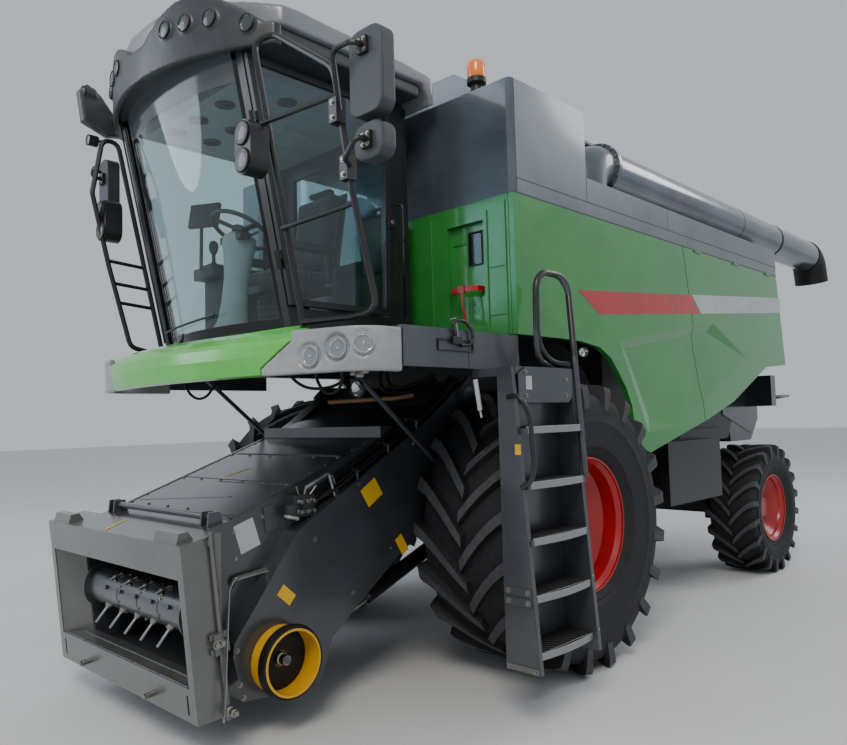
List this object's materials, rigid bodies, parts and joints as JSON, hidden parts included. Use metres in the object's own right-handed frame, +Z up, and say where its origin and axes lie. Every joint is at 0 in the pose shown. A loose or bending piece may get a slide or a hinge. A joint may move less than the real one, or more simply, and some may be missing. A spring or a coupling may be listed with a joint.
{
  "type": "combine harvester",
  "caption": "Self-propelled grain combine with cab, lowered feeder house without header, folded unloading auger, side ladder and steered rear wheels.",
  "frame": {"origin": "centre of the footprint of the whole machine's box, on the ground", "axes": "+X forward towards the feeder house, +Y to the machine's left, +Z up"},
  "size_m": [8.2854, 3.435, 3.965],
  "materials": {
    "green_paint": "gloss",
    "grey_paint": "satin",
    "dark_paint": "satin",
    "black_paint": "satin",
    "cab_glass": "gloss",
    "roof_plastic": "gloss",
    "dark_plastic": "satin",
    "seat_fabric": "woven",
    "black_plastic": "satin",
    "silver_plastic": "satin",
    "amber_plastic": "gloss",
    "yellow_plastic": "satin",
    "chromed_rod": "polished",
    "tyre_rubber": "matte",
    "red_paint": "gloss",
    "hose_rubber": "matte"
  },
  "bodies": {
    "machine": {"chassis": "dark_paint", "front_axle": "dark_paint", "engine": "dark_paint", "body_hull": "black_paint", "grain_tank": "grey_paint", "body_front": "green_paint", "side_panel_left": "green_paint", "rear_hood": "dark_paint", "engine_deck": "dark_paint", "cab_floor": "dark_paint", "cab_frame": "black_paint", "cab_glass": "cab_glass", "roof": "roof_plastic", "visor": "dark_plastic", "seat": "seat_fabric", "steering": "black_plastic", "platform": "grey_paint", "bumper": "green_paint", "lamp_panels": "silver_plastic", "railings": "black_paint", "mirrors": "dark_plastic", "ladder": "grey_paint", "rear_axle": "dark_paint", "beacon": "amber_plastic"},
    "front_wheel_left": {"tyre_front_left": "tyre_rubber", "rim_front_left": "red_paint"},
    "front_wheel_right": {"tyre_front_right": "tyre_rubber", "rim_front_right": "red_paint"},
    "rear_wheel_left": {"tyre_rear_left": "tyre_rubber", "rim_rear_left": "red_paint"},
    "rear_wheel_right": {"tyre_rear_right": "tyre_rubber", "rim_rear_right": "red_paint"},
    "knuckle_left": {"knuckle_left": "dark_paint"},
    "knuckle_right": {"knuckle_right": "dark_paint"},
    "feeder": {"feeder_house": "dark_paint", "header_frame": "grey_paint", "shaft_guard": "yellow_plastic"},
    "drum": {"feeder_drum": "dark_paint"},
    "lift_barrel_left": {"lift_barrel_left": "black_paint"},
    "lift_barrel_right": {"lift_barrel_right": "black_paint"},
    "lift_rod_left": {"lift_rod_left": "chromed_rod"},
    "lift_rod_right": {"lift_rod_right": "chromed_rod"},
    "auger": {"auger_elbow": "grey_paint", "auger_tube": "grey_paint", "auger_spout": "hose_rubber"},
    "cab_door": {"door_frame": "black_paint", "door_glass": "cab_glass"},
    "side_door_left": {"side_door_left": "green_paint"},
    "side_door_right_front": {"side_door_right_front": "green_paint"},
    "side_door_right": {"side_door_right": "green_paint"},
    "tank_lid_left": {"tank_lid_left": "grey_paint"},
    "tank_lid_right": {"tank_lid_right": "grey_paint"}
  },
  "joints": [
    {"name": "front_wheel_left_spin", "type": "hinge", "parent": "machine", "child": "front_wheel_left", "pos_m": [1.712, 1.068, 0.9], "axis": [0, 1, 0], "continuous": true},
    {"name": "front_wheel_right_spin", "type": "hinge", "parent": "machine", "child": "front_wheel_right", "pos_m": [1.712, -1.332, 0.9], "axis": [0, 1, 0], "continuous": true},
    {"name": "steer_left", "type": "hinge", "parent": "machine", "child": "knuckle_left", "pos_m": [-1.928, 0.668, 0.625], "axis": [0, 0, 1], "range_deg": [-38, 38]},
    {"name": "steer_right", "type": "hinge", "parent": "machine", "child": "knuckle_right", "pos_m": [-1.928, -0.932, 0.625], "axis": [0, 0, 1], "range_deg": [-38, 38]},
    {"name": "rear_wheel_left_spin", "type": "hinge", "parent": "knuckle_left", "child": "rear_wheel_left", "pos_m": [-1.928, 1.033, 0.625], "axis": [0, 1, 0], "continuous": true},
    {"name": "rear_wheel_right_spin", "type": "hinge", "parent": "knuckle_right", "child": "rear_wheel_right", "pos_m": [-1.928, -1.297, 0.625], "axis": [0, 1, 0], "continuous": true},
    {"name": "feeder_lift", "type": "hinge", "parent": "machine", "child": "feeder", "pos_m": [2.012, -0.132, 1.75], "axis": [0, -1, 0], "range_deg": [-3, 18]},
    {"name": "drum_spin", "type": "hinge", "parent": "feeder", "child": "drum", "pos_m": [3.882, -0.132, 0.64], "axis": [0, 1, 0], "continuous": true},
    {"name": "lift_barrel_left_pivot", "type": "hinge", "parent": "machine", "child": "lift_barrel_left", "pos_m": [1.912, 0.368, 0.8], "axis": [0, -1, 0], "range_deg": [-3.73, 19.91]},
    {"name": "lift_rod_left_slide", "type": "slide", "parent": "lift_barrel_left", "child": "lift_rod_left", "axis": [0.936, 0, -0.3519], "range_m": [-0.0534, 0.3003]},
    {"name": "lift_barrel_right_pivot", "type": "hinge", "parent": "machine", "child": "lift_barrel_right", "pos_m": [1.912, -0.632, 0.8], "axis": [0, -1, 0], "range_deg": [-3.73, 19.91]},
    {"name": "lift_rod_right_slide", "type": "slide", "parent": "lift_barrel_right", "child": "lift_rod_right", "axis": [0.936, 0, -0.3519], "range_m": [-0.0534, 0.3003]},
    {"name": "auger_swing", "type": "hinge", "parent": "machine", "child": "auger", "pos_m": [1.172, 1.103, 3.425], "axis": [0, 0, -1], "range_deg": [0, 100]},
    {"name": "cab_door_swing", "type": "hinge", "parent": "machine", "child": "cab_door", "pos_m": [3.434, 0.612, 2.09991], "axis": [-0.2004, -0.0064, -0.9797], "range_deg": [0, 65]},
    {"name": "side_door_left_lift", "type": "hinge", "parent": "machine", "child": "side_door_left", "pos_m": [-0.988, 1.344, 2.9297], "axis": [1, 0, 0], "range_deg": [0, 80]},
    {"name": "side_door_right_front_lift", "type": "hinge", "parent": "machine", "child": "side_door_right_front", "pos_m": [1.212, -1.608, 2.9297], "axis": [-1, 0, 0], "range_deg": [0, 80]},
    {"name": "side_door_right_lift", "type": "hinge", "parent": "machine", "child": "side_door_right", "pos_m": [-0.988, -1.608, 2.9297], "axis": [-1, 0, 0], "range_deg": [0, 80]},
    {"name": "tank_lid_left_open", "type": "hinge", "parent": "machine", "child": "tank_lid_left", "pos_m": [1.812, 1.068, 3.6593], "axis": [-1, 0, 0], "range_deg": [0, 100]},
    {"name": "tank_lid_right_open", "type": "hinge", "parent": "machine", "child": "tank_lid_right", "pos_m": [1.812, -1.332, 3.6593], "axis": [1, 0, 0], "range_deg": [0, 100]}
  ],
  "couplings": [
    {"joint": "steer_right", "follows": "steer_left", "ratio": 1},
    {"joint": "lift_barrel_left_pivot", "follows": "feeder_lift", "ratio": 1.0781},
    {"joint": "lift_rod_left_slide", "follows": "feeder_lift", "m_per_rad": 0.9431},
    {"joint": "lift_barrel_right_pivot", "follows": "feeder_lift", "ratio": 1.0781},
    {"joint": "lift_rod_right_slide", "follows": "feeder_lift", "m_per_rad": 0.9431}
  ]
}
